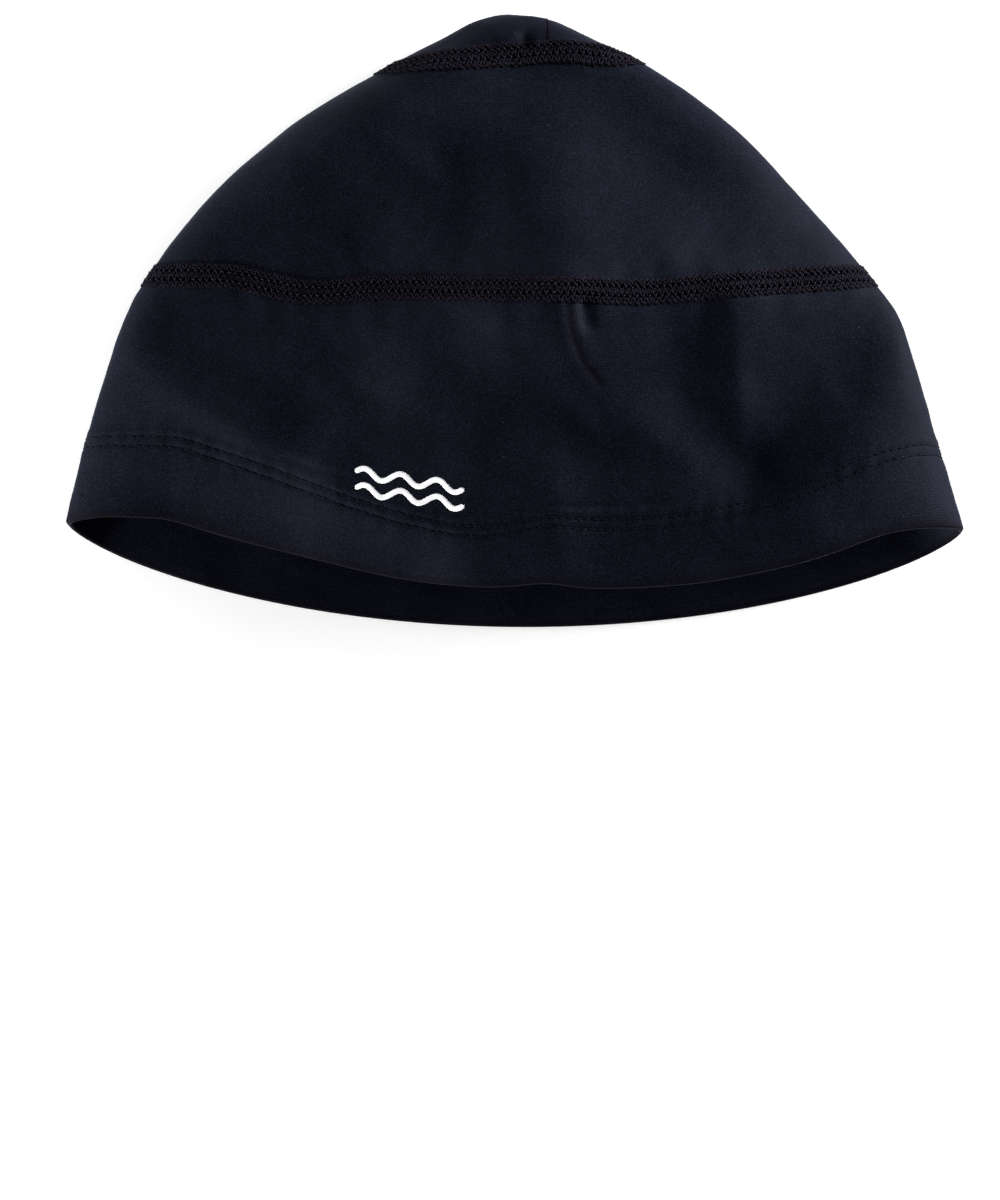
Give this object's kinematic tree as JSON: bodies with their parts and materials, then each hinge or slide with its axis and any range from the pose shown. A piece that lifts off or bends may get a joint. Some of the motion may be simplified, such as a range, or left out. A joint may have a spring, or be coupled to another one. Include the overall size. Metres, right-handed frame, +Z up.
{
  "type": "swim cap",
  "caption": "Knitted elastic swim cap lying on its back, puffed up, with a doubled hem, flat braided seams and a crown of two halves.",
  "frame": {"origin": "on the table, under the middle of the cap's bounding box", "axes": "+X to the right across the mouth, +Y from the mouth to the crown, +Z up out of the table"},
  "size_m": [0.2462, 0.1676, 0.0504],
  "materials": {
    "navy_cloth": "matt knitted elastic cloth, navy",
    "seam_thread": "near-black braided thread"
  },
  "bodies": {
    "root": {"hem": "navy_cloth", "lower_panel": "navy_cloth", "lower_seam": "seam_thread", "middle_panel": "navy_cloth", "upper_seam": "seam_thread", "crown_left": "navy_cloth", "crown_right": "navy_cloth"}
  },
  "joints": []
}
